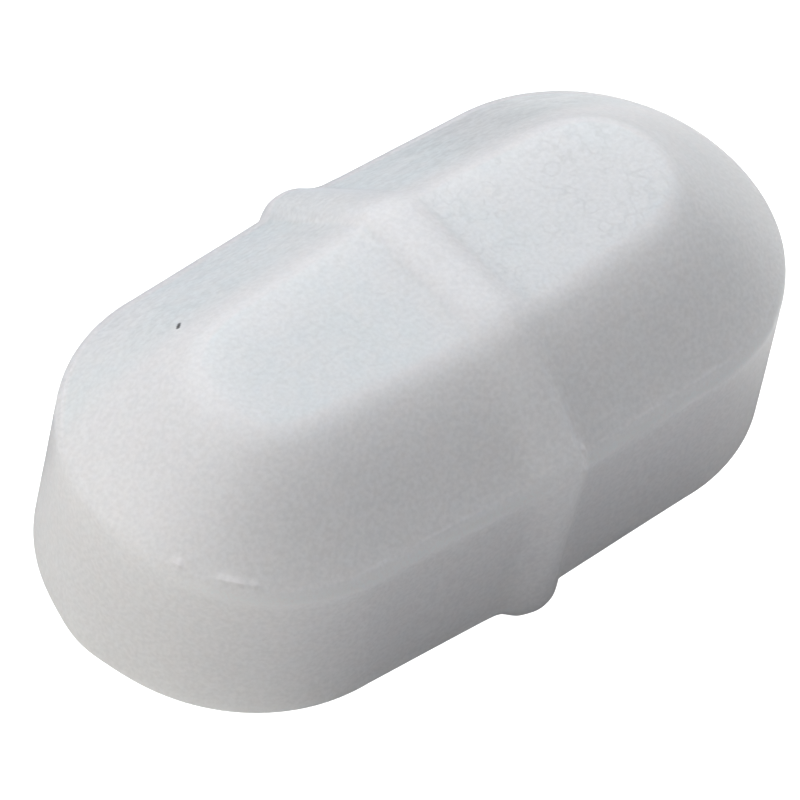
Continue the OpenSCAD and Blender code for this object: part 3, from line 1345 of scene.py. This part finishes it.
@dataclass(frozen=True)
class MagnetAlloy:
    """Aluminium-nickel-cobalt magnet alloy, cast and centreless ground.

    It gives the eye a dull silver grey metal with fine rings ground round the rod and
    darker cast pits.
    """

    metal: str = "#8E8F92"
    pit: str = "#4C4B4A"
    roughness: tuple[float, float] = (0.34, 0.58)
    ring_mm: float = 0.08
    # slow enough across the rod that the rings run on round it
    rings_across_per_metre: float = 220.0
    ring_strength: float = 0.6
    ring_depth_mm: float = 0.004
    pit_mm: float = 0.5
    pit_span: Span = (0.58, 0.7)

    def material(self) -> Material:
        """Builds the material.

        Returns:
            A Principled metal on Object coordinates.
        """
        material = empty_material("alnico_cast_ground")
        tree = material.node_tree
        place = add_node(tree, "ShaderNodeTexCoord", output="Object")
        scale = (per_metre(self.ring_mm), self.rings_across_per_metre, self.rings_across_per_metre)
        drawn = add_node(tree, "ShaderNodeMapping", {"Vector": place, "Scale": scale})
        rings = add_node(tree, "ShaderNodeTexNoise", {"Vector": drawn, "Scale": 1.0, "Detail": 3.0})
        pits = add_node(
            tree,
            "ShaderNodeTexNoise",
            {"Vector": place, "Scale": per_metre(self.pit_mm), "Detail": 4.0},
        )
        share = add_node(tree, "ShaderNodeMapRange", (pits, *self.pit_span))
        inputs = {SHARE: share, UNDER: linear_colour(self.metal), OVER: linear_colour(self.pit)}
        colour = add_node(tree, "ShaderNodeMix", inputs, MIXED, data_type="RGBA")
        dull = add_node(tree, "ShaderNodeMapRange", (rings, 0.0, 1.0, *self.roughness))
        bump = add_node(
            tree,
            "ShaderNodeBump",
            {"Strength": self.ring_strength, "Distance": self.ring_depth_mm * MM, "Height": rings},
        )
        shader = add_node(
            tree,
            "ShaderNodeBsdfPrincipled",
            {"Base Color": colour, "Metallic": 1.0, "Roughness": dull, "Normal": bump},
        )
        add_node(tree, "ShaderNodeOutputMaterial", {"Surface": shader})
        return material


@dataclass(frozen=True)
class SoftLight:
    """A large soft lamp that looks at the bar from two angles in degrees and a distance in metres."""

    name: str
    azimuth: float
    elevation: float
    power: float
    colour: str
    size: float = 0.4
    distance: float = 0.8

    def build(self) -> None:
        """Adds the lamp, which the camera doesn't see."""
        back = direction(self.azimuth, self.elevation)
        lamp = bpy.data.lights.new(self.name, "AREA")
        lamp.shape = "DISK"
        lamp.size = self.size
        lamp.energy = self.power
        lamp.color = linear_colour(self.colour)[:3]
        holder = linked_object(self.name, lamp)
        holder.location = back * self.distance
        holder.rotation_mode = "QUATERNION"
        holder.rotation_quaternion = back.to_track_quat("Z", "Y")
        holder.visible_camera = False


@dataclass(frozen=True)
class GlowPanel:
    """A lit strip let into the table, between two radii in millimetres and two angles in degrees.

    The angles run anticlockwise from +X.
    """

    name: str
    inner: float
    outer: float
    start: float
    end: float
    strength: float
    colour: str
    below_rest: float = 0.005
    columns: int = 49

    def build(self) -> None:
        """Adds the strip just under the bar's resting level, as a grid of radius by angle."""
        turn = np.radians(np.linspace(self.start, self.end, self.columns))
        radius = np.array([[self.inner], [self.outer]])
        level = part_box("jacket")[0].z / MM - self.below_rest
        points = np.stack(
            [radius * np.cos(turn), radius * np.sin(turn), level + 0 * radius * turn], axis=-1
        )
        open_strip = grid_faces(2, self.columns)[:-1]
        mesh = welded_mesh(self.name, points.reshape(-1, 3), open_strip, {})
        material = empty_material(self.name)
        tree = material.node_tree
        inputs = {"Color": linear_colour(self.colour), "Strength": self.strength}
        glow = add_node(tree, "ShaderNodeEmission", inputs)
        add_node(tree, "ShaderNodeOutputMaterial", {"Surface": glow})
        mesh.materials.append(material)
        panel = linked_object(self.name, mesh)
        panel.visible_camera = False


@dataclass
class Studio:
    """A pale floor and backdrop, soft lamps, a dim sky, and the camera."""

    floor_radius_m: float = 0.5
    floor_colour: str = "#F4F4F2"
    floor_glow: float = 1.2
    floor_rows: int = 33
    floor_columns: int = 96
    sky_top: str = "#8C9094"
    sky_bottom: str = "#3C3C3E"
    sky_strength: float = 0.02
    lights: tuple[SoftLight, ...] = (
        SoftLight("left_rear", -120.0, 35.0, 1.26, "#FEFEFF"),
        SoftLight("left_low", -90.0, 8.0, 0.27, "#FFFBEF"),
        SoftLight("left", -90.0, 35.0, 0.90, "#FEFEFF"),
        SoftLight("right_rear_high", 120.0, 60.0, 1.86, "#FCFDFF"),
        SoftLight("right_rear", 120.0, 35.0, 0.57, "#EAF3FF"),
        SoftLight("rear_high", 180.0, 60.0, 1.65, "#FDFDFF"),
        SoftLight("rear", 180.0, 35.0, 0.67, "#F7F9FF"),
        SoftLight("front_high", 30.0, 60.0, 0.73, "#FAFCFF"),
    )
    panels: tuple[GlowPanel, ...] = (
        GlowPanel("front_glow_18mm", 11.0, 18.0, -135.0, -45.0, 2.23, "#FAFAFF"),
        GlowPanel("right_glow_18mm", 11.0, 18.0, -45.0, 45.0, 2.01, "#FFFDFC"),
        GlowPanel("left_glow_18mm", 11.0, 18.0, 135.0, 225.0, 0.67, "#FEFFFF"),
        GlowPanel("left_glow_35mm", 18.0, 35.0, 135.0, 225.0, 0.70, "#FFFCF5"),
        GlowPanel("left_glow_90mm", 35.0, 90.0, 135.0, 225.0, 2.28, "#FFFCF6"),
        GlowPanel("right_glow_90mm", 35.0, 90.0, -45.0, 45.0, 2.33, "#FAFFFC"),
        GlowPanel("left_glow_11mm", 7.0, 11.0, 135.0, 225.0, 0.64, "#FFFEF8"),
        GlowPanel("rear_glow_18mm", 11.0, 18.0, 45.0, 135.0, 1.16, "#E2ECFF"),
        GlowPanel("under_glow", 0.01, 3.6, -180.0, 180.0, 0.5, "#FFFFFF"),
        GlowPanel("under_glow_left", 3.6, 6.8, 148.0, 212.0, 0.6, "#FFFFFF"),
        GlowPanel("under_glow_right", 3.6, 6.8, -32.0, 32.0, 0.6, "#FFFFFF"),
    )
    camera_azimuth: float = -49.706
    camera_elevation: float = 50.530
    camera_roll: float = 12.351
    camera_distance: float = 300.0
    clip_m: tuple[float, float] = (0.01, 2.0)
    target_right: float = -0.2006
    target_up: float = -0.0630
    focal_px: float = 15605.04
    picture_px: float = 800.0
    sensor_mm: float = 36.0

    def build_camera(self) -> None:
        """Adds the camera: turned round the bar, raised, and rolled about its own axis."""
        back = direction(self.camera_azimuth, self.camera_elevation)
        right = direction(self.camera_azimuth + 90.0, 0.0)
        up = back.cross(right)
        target = right * self.target_right + up * self.target_up
        spin = Matrix.Rotation(math.radians(self.camera_roll), 3, back)
        facing = Matrix((spin @ right, spin @ up, back)).transposed()
        data = bpy.data.cameras.new("camera")
        data.sensor_width = self.sensor_mm
        data.lens = self.focal_px * self.sensor_mm / self.picture_px
        data.clip_start, data.clip_end = self.clip_m
        camera = linked_object("camera", data)
        stand = (target + back * self.camera_distance) * MM
        camera.matrix_world = Matrix.Translation(stand) @ facing.to_4x4()
        bpy.context.scene.camera = camera

    def build_sky(self) -> None:
        """Adds the dim soft light from all round, darker from below."""
        world = bpy.data.worlds.new("soft_sky")
        world.use_nodes = True
        tree = world.node_tree
        tree.nodes.clear()
        looking = add_node(tree, "ShaderNodeTexCoord", output="Generated")
        height = add_node(tree, "ShaderNodeSeparateXYZ", (looking,), "Z")
        share = add_node(tree, "ShaderNodeMapRange", (height, -1.0, 1.0))
        inputs = {SHARE: share, UNDER: linear_colour(self.sky_bottom), OVER: linear_colour(self.sky_top)}
        colour = add_node(tree, "ShaderNodeMix", inputs, MIXED, data_type="RGBA")
        glow = add_node(tree, "ShaderNodeBackground", {"Color": colour, "Strength": self.sky_strength})
        add_node(tree, "ShaderNodeOutputWorld", {"Surface": glow})
        bpy.context.scene.world = world

    def backlit_acrylic(self) -> Material:
        """White acrylic lit from behind: evenly bright, and clear from its back.

        Returns:
            The material of floor and backdrop.
        """
        material = empty_material("white_backlit_acrylic")
        tree = material.node_tree
        shader = add_node(
            tree,
            "ShaderNodeBsdfPrincipled",
            {
                "Base Color": linear_colour(self.floor_colour),
                "Emission Color": (1, 1, 1, 1),
                "Emission Strength": self.floor_glow,
            },
        )
        clear = add_node(tree, "ShaderNodeBsdfTransparent")
        from_back = add_node(tree, "ShaderNodeNewGeometry", output="Backfacing")
        seen = add_node(tree, "ShaderNodeMixShader", (from_back, shader, clear))
        add_node(tree, "ShaderNodeOutputMaterial", {"Surface": seen})
        return material

    def build_backdrop(self) -> None:
        """Adds the floor, a flat disc, and the backdrop, a sphere round it.

        Both are grids turned round the upright axis, with rows at radius r and height z.
        They are the plain white behind the bar and give it no light.
        """
        material = self.backlit_acrylic()
        radius = self.floor_radius_m / MM
        turn = np.linspace(0, 2 * math.pi, self.floor_columns, endpoint=False)
        share = np.linspace(0, 1, self.floor_rows)
        latitude = np.radians(180 * share - 90)
        profiles = {
            "floor": (radius * share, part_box("jacket")[0].z / MM + 0 * share),
            "backdrop": (radius * np.cos(latitude), radius * np.sin(latitude)),
        }
        for name, (r, z) in profiles.items():
            r, z = r[:, None], z[:, None]
            points = np.stack([r * np.cos(turn), r * np.sin(turn), z + 0 * turn], axis=-1)
            quads = grid_faces(self.floor_rows, self.floor_columns)
            mesh = welded_mesh(name, points.reshape(-1, 3), quads, {})
            mesh.materials.append(material)
            disc = linked_object(name, mesh)
            disc.visible_diffuse = False
            disc.visible_glossy = False
            disc.visible_transmission = False
            disc.visible_shadow = False

    def build(self) -> None:
        """Adds everything round the bar and sets plain colour handling."""
        self.build_camera()
        self.build_sky()
        self.build_backdrop()
        for lamp in self.lights + self.panels:
            lamp.build()
        bpy.context.scene.view_settings.view_transform = "Standard"


def main() -> None:
    """Builds the jacket's skin, dresses it and the magnet, and sets the studio round them."""
    logging.basicConfig(level=logging.INFO, format="%(message)s")
    skin = Jacket().build()
    skin.data.materials.append(MouldedPTFE().material())
    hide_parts("jacket")
    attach(skin, "root")
    LOG.info("jacket_skin: %d vertices, %d faces", len(skin.data.vertices), len(skin.data.polygons))
    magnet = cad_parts["magnet"]
    alloy = MagnetAlloy().material()
    magnet.data.materials.clear()
    magnet.data.materials.append(alloy)
    LOG.info("magnet: %s", alloy.name)
    Studio().build()


if __name__ == "__main__":
    main()
